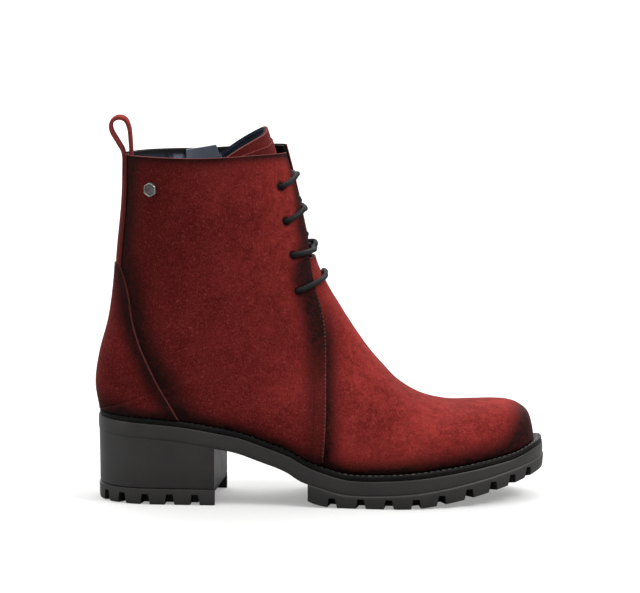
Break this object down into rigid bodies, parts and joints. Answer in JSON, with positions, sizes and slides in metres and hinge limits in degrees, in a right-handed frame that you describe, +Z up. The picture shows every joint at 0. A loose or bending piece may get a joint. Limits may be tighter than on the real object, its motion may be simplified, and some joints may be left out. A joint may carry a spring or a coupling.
{
  "type": "ankle boot",
  "caption": "Lace-up ankle boot for the right foot in burgundy suede, with a pull loop, a bare six-sided stud, a welt, a cleated rubber sole and a block heel.",
  "frame": {"origin": "middle of the boot's footprint, on the floor it stands on", "axes": "+X from the heel to the toe, +Y to the inner (medial) side, +Z up"},
  "size_m": [0.2702, 0.0988, 0.2302],
  "materials": {
    "outsole": "matt black rubber, faintly glossy on its edges",
    "heel": "satin black",
    "top_piece": "matt black rubber",
    "welt": "polished black edge",
    "insole": "smooth dark blue",
    "upper": "burgundy suede, rubbed dark along seams and edges",
    "counter": "burgundy suede, rubbed dark along its edge",
    "pull_strap": "burgundy suede",
    "tongue": "burgundy suede, dark blue lining",
    "inner_flap": "smooth dark blue grey",
    "stud": "aged nickel, satin",
    "lace": "black braided cord"
  },
  "bodies": {
    "root": {"outsole": "outsole", "heel": "heel", "top_piece": "top_piece", "welt": "welt", "insole": "insole", "upper": "upper", "counter": "counter", "pull_strap": "pull_strap", "tongue": "tongue", "inner_flap": "inner_flap", "stud": "stud", "lace_1": "lace", "lace_2": "lace", "lace_3": "lace", "lace_4": "lace"}
  },
  "joints": []
}
